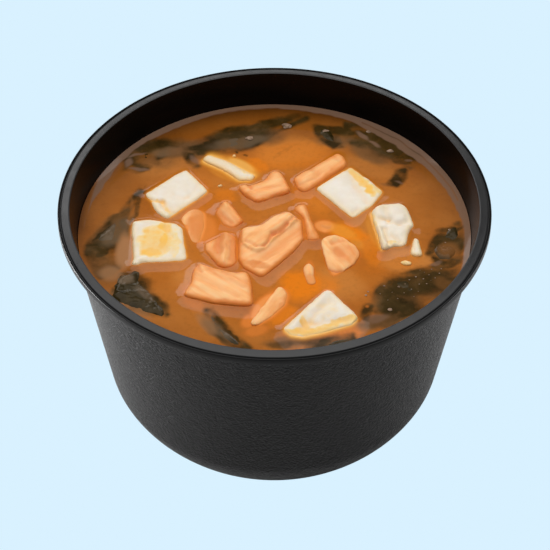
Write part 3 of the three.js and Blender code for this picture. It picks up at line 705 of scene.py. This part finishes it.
# Presses marks into the top and returns how deep each point lies in a crack (mm), which the materials use for
# painted shade in the cracks.
def press_marks(piece, marks):
    place = vertex_array(piece)
    above = np.clip((place[:, 2] - LEVEL + 0.4 * MM) / (0.8 * MM), 0, 1)
    crack_shade = np.zeros(len(place))
    shift = np.zeros(len(place))
    bend = np.array([noise.noise_vector((p[0] / (3 * MM), p[1] / (3 * MM), 5.0)) for p in place])
    bent_x = place[:, 0] + 0.7 * MM * bend[:, 0]
    bent_y = place[:, 1] + 0.7 * MM * bend[:, 1]
    for x1, y1, x2, y2, half_width, height in marks:
        line = np.array([(x1 * MM, y1 * MM, x2 * MM, y2 * MM)])
        reach = np.exp(-(distance_to(line, bent_x, bent_y) / (half_width * MM)) ** 2)
        shift += height * MM * reach * above
        crack_shade = np.maximum(crack_shade, -height * reach * above)
    place[:, 2] += shift
    piece.data.vertices.foreach_set("co", place.ravel())
    piece.data.update()
    return crack_shade


# The patches' strength on a piece, with edges that wander.
def wandering_patches(piece, patches):
    place = vertex_array(piece)
    wander = np.array([noise.noise_vector((p[0] / (1.6 * MM), p[1] / (1.6 * MM), 2.0)) for p in place])
    moved = place[:, :2] + 0.9 * MM * wander[:, :2]
    return inside_patches(patches, moved[:, 0], moved[:, 1])


# 1 at a piece's own waterline, fading inwards.
def near_outline(piece, node_name, reach, strength):
    place = vertex_array(piece)
    inward = distance_to(waterline(node_name, LEVEL + WATERLINE), place[:, 0], place[:, 1])
    return strength * np.exp(-(inward / reach) ** 2)


tofu_look, shader = new_material("tofu", {
    "Roughness": 0.5, "IOR": 1.38,
    "Subsurface Weight": 0.2, "Subsurface Scale": 0.003, "Subsurface Radius": (1.0, 0.7, 0.4),
})


# How far above the broth a point lies, from 0 at `low` to 1 at `high` (mm).
def above_broth(material, low, high):
    split = material.node_tree.nodes.new("ShaderNodeSeparateXYZ")
    join(material, object_coordinates(material), split.inputs["Vector"])
    node = add_node(material, "ShaderNodeMapRange")
    node.interpolation_type = "SMOOTHSTEP"
    node.inputs["From Min"].default_value = LEVEL + low * MM
    node.inputs["From Max"].default_value = LEVEL + high * MM
    join(material, split.outputs["Z"], node.inputs["Value"])
    return node.outputs["Result"]


fine = mottled(tofu_look, 700, 3)
curd = ramp(tofu_look, mottled(tofu_look, 190, 3), [(0.35, (0.83, 0.725, 0.58)), (0.65, (0.88, 0.80, 0.69))])
uneven = calculate(tofu_look, "SUBTRACT", mottled(tofu_look, 480, 3), 0.5)
spread = calculate(tofu_look, "MULTIPLY_ADD", uneven, 0.9, attribute(tofu_look, "soaked"), clamp=True)
soaking = calculate(tofu_look, "MULTIPLY", spread, weighted(tofu_look, "soaked", 4.0))
stained = ramp(tofu_look, soaking, [
    (0.0, (0.84, 0.75, 0.64)), (0.4, (0.90, 0.68, 0.34)), (0.95, (0.95, 0.53, 0.09)),
])
colour = mix_colour(tofu_look, calculate(tofu_look, "MULTIPLY", soaking, 3.0, clamp=True), curd, stained)
# Painted shade in the cracks.
colour = mix_colour(tofu_look, weighted(tofu_look, "crack_shade", 0.9), colour, (0.82, 0.60, 0.34))
colour = mix_colour(tofu_look, attribute(tofu_look, "edge"), colour, (0.90, 0.66, 0.34))
colour = mix_colour(tofu_look, above_broth(tofu_look, 0.1, 1.1), (0.90, 0.53, 0.18), colour)
join(tofu_look, colour, shader.inputs["Base Color"])
bump(tofu_look, shader, fine, 0.10 * MM, 0.6)

for node_name in [name for name in standing if name.startswith("tofu")]:
    block = refined(node_name, node_name + "_curd", TOFU_VOXEL, 5)
    crack_shade = press_marks(block, TOFU_MARKS[node_name])
    roughen(block, 4 * MM, 0.45 * MM)
    roughen(block, 1.5 * MM, 0.16 * MM)
    set_attribute(block, "crack_shade", crack_shade)
    set_attribute(block, "soaked", wandering_patches(block, SOAKED))
    set_attribute(block, "edge", near_outline(block, node_name, TOFU_EDGE, 0.6))
    block.data.materials.append(tofu_look)
    smooth(block, 70)
    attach(block, "root")
    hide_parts(node_name)

# ---------------------------------------------------------------- salmon
# Twelve chunks of poached salmon, peach where they stand dry and orange where broth has soaked in. Flakes
# part along soft clefts, and fine lines run across each chunk.

SALMON_VOXEL = 0.32 * MM
# Painted shade: a chunk is painted darker towards its outline, for the shade on its sides.
SHADED_EDGE = 1.1 * MM           # how far in from its outline a chunk is darker

# For each chunk: the direction its fine lines run in, and its clefts and ridges as for the tofu.
SALMON_MARKS = {
    "salmon_back": (22, [
        (-7.4, 17.6, -6.2, 16.2, 0.5, -0.6), (-8, 13.8, 2, 14.4, 1, 0.2),
        (-6.4, 15.4, 1.6, 16.6, 0.7, -0.25), (0.2, 22.4, 3.2, 16.4, 1.6, 0.4),
        (-5, 12.6, 3.4, 13.6, 0.5, -0.2),
    ]),
    "salmon_back_right": (45, [
        (10.2, 24.4, 12.6, 22, 0.8, -0.3), (8, 19.6, 17, 28, 1.4, 0.3), (7, 18, 12.6, 21, 0.6, -0.25),
        (16.4, 30.2, 18.6, 27.6, 0.7, -0.2),
    ]),
    "salmon_left_sunk": (95, [
        (-23.6, 5.4, -22.2, 7.2, 2, 0.3), (-22, 2, -21.6, -3, 1.6, 0.2),
    ]),
    "salmon_left_small": (-60, [
        (-13.6, 10, -9.6, 3.2, 0.9, 0.4), (-14.2, 6.6, -11.8, 2.4, 1, -0.4),
    ]),
    "salmon_left_wedge": (85, [
        (-13.6, -2.6, -13.4, -13.6, 0.9, 0.45), (-15.4, -4.2, -15.2, -10.2, 0.8, -0.5),
        (-11.6, -4, -11.6, -13, 0.9, -0.3), (-17.6, -7, -16.4, -9, 1, 0.2),
    ]),
    "salmon_middle": (42, [
        (7.1, 5.2, 3.5, 0.7, 0.45, -0.5), (3.5, 0.7, 0, -3.5, 0.65, -0.85),
        (0, -3.5, -3.1, -7.9, 0.5, -0.7), (-3.1, -7.9, -5.2, -8.3, 0.4, -0.45),
        (-5.2, -8.3, -8, -6.1, 0.4, -0.4), (4, 3.4, -3, -3.6, 1.8, 0.4), (-8, -3.4, -4.4, -3, 1.4, 0.3),
        (6.4, -1.6, -2.2, -11.4, 2.2, -0.3), (1.4, -9.8, -4.6, -14.6, 0.4, -0.25),
        (-7.6, -9.6, -5.6, -14, 1, 0.3),
    ]),
    "salmon_strip": (105, [(7.6, 8.6, 10.4, -2.6, 0.7, 0.35)]),
    "salmon_right_tip": (60, [(13.4, 2.2, 14.6, 1.6, 1, 0.25)]),
    "salmon_right": (-60, [
        (14.6, -4.6, 16.6, -3.2, 0.8, 0.4), (15.4, -5.6, 18.8, -4.4, 0.6, -0.35),
        (19.2, -4.4, 21.8, -8, 0.9, 0.35), (17, -7.8, 18.6, -10, 1.2, -0.4),
        (15.2, -8.6, 16.2, -13.6, 1, 0.3), (14.6, -16.4, 17.8, -16.8, 1.3, -0.9),
        (20.8, -9.6, 18.6, -14.8, 1.4, 0.2),
    ]),
    "salmon_finger": (95, [(9.2, -13.8, 9.4, -16.4, 0.7, 0.45)]),
    "salmon_front_slab": (-38, [
        (-17.6, -16.8, -8.2, -23.4, 0.8, -0.3), (-13.6, -18, -7.2, -21.6, 0.6, -0.25),
        (-20.4, -19.4, -10, -27.4, 0.9, -0.22), (-20.8, -15.2, -19.4, -17.4, 0.6, -0.5),
        (-19.6, -22.6, -13, -27, 1.4, 0.25), (-11, -19.6, -7.6, -27, 1.2, 0.2),
    ]),
    "salmon_front_sliver": (60, [(1.6, -23.6, -5, -35.6, 1.4, 0.25)]),
}

# Where the salmon is darker: soaked with broth, and on some facets and lower edges painted shade.
SODDEN_AND_SHADED = [
    (-20.6, 1.6, 7.5, 3.6, 95, 1), (-15, -6.8, 6, 2.4, 85, 0.75), (19.4, -9.4, 5, 3.4, -60, 0.5),
    (-14.6, 4, 4, 1.4, -60, 0.55), (-11.2, -8.5, 7, 1.3, 90, 0.6), (17.8, -8.6, 3, 1.8, -60, 0.65),
    (21.6, -11.4, 5, 1.5, -55, 0.55), (14.6, 1.6, 4, 3, 0, 0.9), (11.2, -2.4, 2.6, 1.6, -70, 0.5),
    (2.6, -29.2, 6, 1.5, 62, 0.8), (10, -19.4, 2.2, 1.6, 0, 0.7), (14.4, 21, 7, 1.3, 45, 0.5),
    (7.4, 17.2, 2.6, 2, 0, 0.4), (3.6, -11.2, 9.5, 1, 52, 0.6), (-1.2, 12, 7, 0.9, 10, 0.6),
    (-4.6, -14.6, 4.4, 1.4, -16, 0.8), (-13.6, -29.2, 9, 0.9, -8, 0.6), (-7.4, -16.4, 3, 1, -42, 0.5),
]

salmon_look, shader = new_material("poached salmon", {
    "Roughness": 0.48, "IOR": 1.4, "Specular IOR Level": 0.3,
    "Subsurface Weight": 0.2, "Subsurface Scale": 0.003, "Subsurface Radius": (1.0, 0.45, 0.2),
})
along_flakes = salmon_look.node_tree.nodes.new("ShaderNodeAttribute")
along_flakes.attribute_name = "flake_lines"
lines = mottled(salmon_look, 1.0, 3, along_flakes.outputs["Vector"])
flesh = ramp(salmon_look, lines, [
    (0.33, (0.97, 0.42, 0.14)), (0.5, (1.0, 0.52, 0.21)), (0.66, (1.0, 0.60, 0.28)),
])
blotches = calculate(salmon_look, "MULTIPLY", mottled(salmon_look, 150, 3), 0.3)
colour = mix_colour(salmon_look, blotches, flesh, (0.93, 0.34, 0.10))
# Painted shade towards each chunk's outline.
colour = mix_colour(salmon_look, attribute(salmon_look, "edge"), colour, (0.80, 0.235, 0.038))
# Soaked patches and painted shade on facets and lower edges.
colour = mix_colour(salmon_look, weighted(salmon_look, "soaked", 0.85), colour, (0.74, 0.215, 0.035))
shallow = attribute(salmon_look, "shallow")
washed = mix_colour(salmon_look, shallow, (0.62, 0.165, 0.022), (0.80, 0.27, 0.055))
low_dry = calculate(salmon_look, "MULTIPLY", shallow, above_broth(salmon_look, -0.1, 0.55))
dry = calculate(salmon_look, "MAXIMUM", above_broth(salmon_look, 0.2, 1.1), low_dry)
colour = mix_colour(salmon_look, dry, washed, colour)
# Painted shade in the clefts.
colour = mix_colour(salmon_look, weighted(salmon_look, "crack_shade", 1.1), colour, (0.76, 0.235, 0.065))
join(salmon_look, colour, shader.inputs["Base Color"])
bump(salmon_look, shader, lines, 0.15 * MM, 0.4)

for node_name in [name for name in standing if name.startswith("salmon")]:
    direction, marks = SALMON_MARKS[node_name]
    chunk = refined(node_name, node_name + "_flesh", SALMON_VOXEL, 3)
    crack_shade = press_marks(chunk, marks)
    roughen(chunk, 3.4 * MM, 0.4 * MM)
    set_attribute(chunk, "crack_shade", crack_shade)
    set_attribute(chunk, "soaked", wandering_patches(chunk, SODDEN_AND_SHADED))
    shallow = 1.0 if node_name in AWASH else 0.0
    set_attribute(chunk, "edge", near_outline(chunk, node_name, SHADED_EDGE, 0.9 * (1 - shallow)))
    set_attribute(chunk, "shallow", np.full(len(crack_shade), shallow))
    place = vertex_array(chunk)
    angle = math.radians(direction)
    along = place[:, 0] * math.cos(angle) + place[:, 1] * math.sin(angle)
    across = place[:, 1] * math.cos(angle) - place[:, 0] * math.sin(angle)
    stretched = np.stack([along / (9 * MM), across / (1.5 * MM), place[:, 2] / (3 * MM)], axis=1)
    flake_lines = chunk.data.attributes.new("flake_lines", "FLOAT_VECTOR", "POINT")
    flake_lines.data.foreach_set("vector", stretched.ravel())
    chunk.data.materials.append(salmon_look)
    smooth(chunk, 70)
    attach(chunk, "root")
    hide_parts(node_name)

# ---------------------------------------------------------------- wakame
# Soaked wakame: fourteen thin, slippery leaves torn small, green-black and wet. Each lies in the surface
# of the broth, which wets it over its drooping edges.

LEAF_LIFT = 0.5                  # how much of the frame's clearance above the broth a wet leaf keeps

# How each leaf lies: its slope towards the front, the height of its folds and how far it is sunk (mm).
LEAF_LIE = {
    "wakame_back_left": (0.04, 0.8, 0.85), "wakame_back": (0.03, 0.8, 0.6),
    "wakame_back_curl": (0, 0.9, 0.2), "wakame_back_small": (0.04, 0.7, 0.3),
    "wakame_back_right": (0.02, 1.2, 1.1), "wakame_right_small": (0.05, 0.7, 1.1),
    "wakame_right": (0, 1, 0.45), "wakame_front_right": (0, 0.8, 0.85), "wakame_bit": (0.05, 0.7, 0.3),
    "wakame_strand": (0, 0.7, 0.9), "wakame_left": (0.04, 0.9, 0.7), "wakame_front_left": (0.03, 2.4, 0),
    "wakame_front_strand": (0, 0.8, 0.35), "wakame_front": (0, 0.8, 0.35),
}
DROOP = 0.9 * MM                 # how far a leaf's edge hangs below its middle
DROOP_WIDTH = 2.6 * MM           # how far in from the edge that droop starts
STEEP = 0.6                      # a face is part of a leaf's edge where its normal rises less than this

wakame_look, shader = new_material("wakame", {
    "Roughness": 0.17, "IOR": 1.36, "Specular IOR Level": 0.3, "Specular Tint": (1.0, 0.84, 0.66, 1),
})
veins = mottled(wakame_look, 420, 4)
green = ramp(wakame_look, mottled(wakame_look, 170, 3), [
    (0.35, (0.018, 0.012, 0.002)), (0.5, (0.032, 0.021, 0.005)), (0.7, (0.070, 0.045, 0.018)),
])
# Painted sheen on the leaf's wet folds.
green = mix_colour(wakame_look, attribute(wakame_look, "painted_leaf_sheen"), green, (0.135, 0.088, 0.050))
green = mix_colour(wakame_look, attribute(wakame_look, "thin_leaf"), green, (0.20, 0.080, 0.020))
join(wakame_look, green, shader.inputs["Base Color"])
bump(wakame_look, shader, veins, 0.12 * MM, 0.5)

for node_name in leaves:
    leaf = frame_copy(node_name, node_name + "_leaf")
    sides = []
    solid = nodes[node_name].data
    for face in solid.polygons:
        if abs(face.normal.z) < STEEP:
            corners = [solid.vertices[i].co for i in face.vertices]
            sides += [(a.x, a.y, b.x, b.y) for a, b in zip(corners, corners[1:] + corners[:1])]
    finer = leaf.modifiers.new("finer", "SUBSURF")
    finer.levels = 3
    finer.render_levels = 3
    apply_modifiers(leaf)
    slope, folds, sunk = LEAF_LIE[node_name]
    roughen(leaf, 4.5 * MM, folds * MM)
    roughen(leaf, 1.8 * MM, 0.3 * MM)
    place = vertex_array(leaf)
    inward = np.clip(distance_to(sides, place[:, 0], place[:, 1]) / DROOP_WIDTH, 0, 1)
    middle_y = (place[:, 1].min() + place[:, 1].max()) / 2
    place[:, 2] = LEVEL + (place[:, 2] - LEVEL) * LEAF_LIFT - DROOP * (1 - inward) ** 2 - sunk * MM
    place[:, 2] += slope * (place[:, 1] - middle_y)
    leaf.data.vertices.foreach_set("co", place.ravel())
    set_attribute(leaf, "thin_leaf", inside_patches(THIN_LEAF, place[:, 0], place[:, 1]))
    set_attribute(leaf, "painted_leaf_sheen", inside_patches(PAINTED_LEAF_SHEEN, place[:, 0], place[:, 1]))
    leaf.data.materials.append(wakame_look)
    smooth(leaf, 80)
    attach(leaf, "root")
    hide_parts(node_name)

# ---------------------------------------------------------------- crumbs
# Three soft crumbs of tofu, 1 to 3 mm long, that came off the cut edges of the curd and float beside the
# pieces.

# Middle, half length and half width (mm), and turn of each crumb.
CRUMBS = [(35.8, -12.5, 1.5, 0.8, -8), (-15.4, 18.4, 0.7, 0.4, 20), (-11.6, 31.2, 0.5, 0.4, 0)]

for number, (middle_x, middle_y, half_length, half_width, turn) in enumerate(CRUMBS):
    bpy.ops.object.select_all(action="DESELECT")
    bpy.ops.mesh.primitive_ico_sphere_add(subdivisions=4, radius=1)
    crumb = bpy.context.object
    crumb.name = f"tofu_crumb_{number + 1}"
    angle = math.radians(turn)
    place = vertex_array(crumb) * np.array([half_length, half_width, 0.5]) * MM
    spun_x = place[:, 0] * math.cos(angle) - place[:, 1] * math.sin(angle)
    spun_y = place[:, 0] * math.sin(angle) + place[:, 1] * math.cos(angle)
    height = place[:, 2] + LEVEL + 0.1 * MM
    place = np.stack([spun_x + middle_x * MM, spun_y + middle_y * MM, height], axis=1)
    crumb.data.vertices.foreach_set("co", place.ravel())
    roughen(crumb, 0.9 * MM, 0.3 * MM)
    set_attribute(crumb, "crack_shade", np.zeros(len(place)))
    set_attribute(crumb, "soaked", np.full(len(place), 0.3))
    set_attribute(crumb, "edge", np.full(len(place), 0.3))
    crumb.data.materials.append(tofu_look)
    smooth(crumb, 80)
    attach(crumb, "root")

# ---------------------------------------------------------------- bubbles
# Bubbles of air caught under a thin skin of broth where wakame breaks the surface. The finest are
# scattered over the broad leaf at the front right.

BUBBLES = [                      # middle (mm) and radius (mm)
    (3.4, 44.7, 1.1), (-7.3, 39.2, 0.9), (14.6, 42.4, 0.8), (26.9, 42.3, 0.55), (33.0, 33.9, 0.75),
    (30.8, -30.4, 0.55), (29.5, -21.4, 0.28), (33.5, -21.7, 0.34), (25.2, -23.6, 0.22), (24.6, -25.0, 0.3),
    (36.4, -19.0, 0.16), (38.2, -17.8, 0.2), (40.2, -18.6, 0.15), (41.8, -17.0, 0.18), (43.4, -18.2, 0.15),
    (44.6, -16.4, 0.2), (39.0, -20.6, 0.14), (36.8, -22.6, 0.17), (38.6, -23.4, 0.13), (41.0, -20.4, 0.16),
    (34.8, -24.0, 0.14), (42.6, -14.8, 0.17), (40.6, -16.0, 0.13), (48.3, 0.9, 0.4), (46.8, -4.2, 0.22),
    (31.6, -23.8, 0.13), (35.2, -20.6, 0.12), (42.2, -19.2, 0.12), (33.0, -26.2, 0.15), (37.4, -25.4, 0.12),
    (45.2, -14.6, 0.14), (39.4, -15.2, 0.12), (30.4, -26.8, 0.12), (28.4, -24.4, 0.14),
]

bubble_look, shader = new_material("bubble", {
    "Roughness": 0.16, "IOR": 1.34, "Specular IOR Level": 0.35, "Specular Tint": (1.0, 0.82, 0.62, 1),
})
froth = ramp(bubble_look, mottled(bubble_look, 900), [
    (0.3, (0.12, 0.068, 0.034)), (0.7, (0.36, 0.24, 0.165)),
])
join(bubble_look, froth, shader.inputs["Base Color"])
bpy.ops.object.select_all(action="DESELECT")
bubbles = None
for middle_x, middle_y, radius in BUBBLES:
    bpy.ops.mesh.primitive_uv_sphere_add(segments=20, ring_count=12, radius=radius * MM,
                                         location=(middle_x * MM, middle_y * MM, LEVEL))
    bubble = bpy.context.object
    bpy.ops.object.transform_apply(location=True, rotation=True, scale=True)
    place = vertex_array(bubble)
    wobble = np.array([noise.noise(Vector(p) / (0.9 * MM)) for p in place])
    place[:, 0] += (0.25 + 0.5 * wobble) * (place[:, 0] - middle_x * MM)
    place[:, 1] += 0.4 * wobble * (place[:, 1] - middle_y * MM)
    place[:, 2] = LEVEL + 0.1 * MM + (place[:, 2] - LEVEL) * 0.35
    bubble.data.vertices.foreach_set("co", place.ravel())
    bubble.data.update()
    if bubbles:
        bubbles.select_set(True)
        bpy.context.view_layer.objects.active = bubbles
        bpy.ops.object.join()
    bubbles = bpy.context.object
    bpy.ops.object.select_all(action="DESELECT")
bubbles.name = "bubbles"
bubbles.data.materials.append(bubble_look)
smooth(bubbles, 60)
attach(bubbles, "root")

# ---------------------------------------------------------------- floor, light and camera
# A plain pale table that shows evenly, soft studio light from above, from behind and from low at both
# sides, and the camera that looks down on the bowl.

PALE = (0.694, 0.880, 1.0, 1)
bpy.ops.object.select_all(action="DESELECT")
bpy.ops.mesh.primitive_plane_add(size=6)
floor = bpy.context.object
floor.name = "floor"
floor_look, shader = new_material("pale table", {
    "Base Color": (0.75, 0.75, 0.75, 1), "Roughness": 0.9, "Specular IOR Level": 0.1,
})
even = add_node(floor_look, "ShaderNodeEmission", Color=PALE)
seen = floor_look.node_tree.nodes.new("ShaderNodeMixShader")
join(floor_look, add_node(floor_look, "ShaderNodeLightPath").outputs["Is Camera Ray"], seen.inputs["Fac"])
join(floor_look, shader.outputs["BSDF"], seen.inputs[1])
join(floor_look, even.outputs["Emission"], seen.inputs[2])
join(floor_look, seen.outputs["Shader"], floor_look.node_tree.nodes["Material Output"].inputs["Surface"])
floor.data.materials.append(floor_look)

world = bpy.data.worlds.new("studio")
bpy.context.scene.world = world
world.use_nodes = True
room = world.node_tree.nodes["Background"]
room.inputs["Color"].default_value = (0.95, 0.97, 1.0, 1)
room.inputs["Strength"].default_value = 0.28
behind = world.node_tree.nodes.new("ShaderNodeBackground")
behind.inputs["Color"].default_value = PALE
either = world.node_tree.nodes.new("ShaderNodeMixShader")
path = world.node_tree.nodes.new("ShaderNodeLightPath")
join(world, path.outputs["Is Camera Ray"], either.inputs["Fac"])
join(world, room.outputs["Background"], either.inputs[1])
join(world, behind.outputs["Background"], either.inputs[2])
join(world, either.outputs["Shader"], world.node_tree.nodes["World Output"].inputs["Surface"])


# A softbox that faces the soup: its bearing and height in degrees, its distance and size in metres, and
# how bright its cloth is, which gives its power.
def softbox(name, azimuth, elevation, distance, size, brightness):
    lamp = bpy.data.lights.new(name, "AREA")
    lamp.shape = "RECTANGLE"
    lamp.size, lamp.size_y = size
    lamp.energy = brightness * math.pi * size[0] * size[1]
    holder = bpy.data.objects.new(name, lamp)
    bpy.context.scene.collection.objects.link(holder)
    level = math.cos(math.radians(elevation))
    away = Vector((level * math.sin(math.radians(azimuth)), level * math.cos(math.radians(azimuth)),
                   math.sin(math.radians(elevation))))
    holder.location = Vector((0, 0, LEVEL)) + distance * away
    holder.rotation_euler = away.to_track_quat("Z", "Y").to_euler()
    holder.visible_camera = False


softbox("overhead softbox", -16, 86, 0.9, (1.25, 1.25), 1.75)
softbox("left softbox", -29, 32, 2.5, (1.35, 0.85), 2.4)
softbox("low back softbox", 4, 16, 0.9, (0.6, 0.2), 1.5)
softbox("low left softbox", -85, -4, 0.36, (0.2, 0.06), 84)
softbox("low right softbox", 85, -4, 0.36, (0.2, 0.06), 20)

VIEW_ELEVATION = math.radians(42.22)
VIEW_DISTANCE = 0.650
AIM_BELOW_RIM = 0.02725
VIEW_ROLL = math.radians(0.28)
FOCAL_PIXELS = 3.674 * 650       # focal length in pixels of a frame that is FRAME_PIXELS wide
FRAME_PIXELS = 550
SENSOR_WIDTH = 36

camera_data = bpy.data.cameras.new("camera")
camera_data.sensor_width = SENSOR_WIDTH
camera_data.lens = SENSOR_WIDTH * FOCAL_PIXELS / FRAME_PIXELS
camera = bpy.data.objects.new("camera", camera_data)
bpy.context.scene.collection.objects.link(camera)
rim_centre = Vector((0.2 * MM, 0, RIM_TOP))
towards_viewer = Vector((0, -math.cos(VIEW_ELEVATION), math.sin(VIEW_ELEVATION)))
camera.location = rim_centre + VIEW_DISTANCE * towards_viewer
aim = rim_centre - Vector((0, 0, AIM_BELOW_RIM))
turn = (aim - camera.location).to_track_quat("-Z", "Y").to_matrix().to_4x4()
camera.rotation_euler = (turn @ Matrix.Rotation(VIEW_ROLL, 4, "Z")).to_euler()
bpy.context.scene.camera = camera
bpy.context.scene.view_settings.view_transform = "Standard"
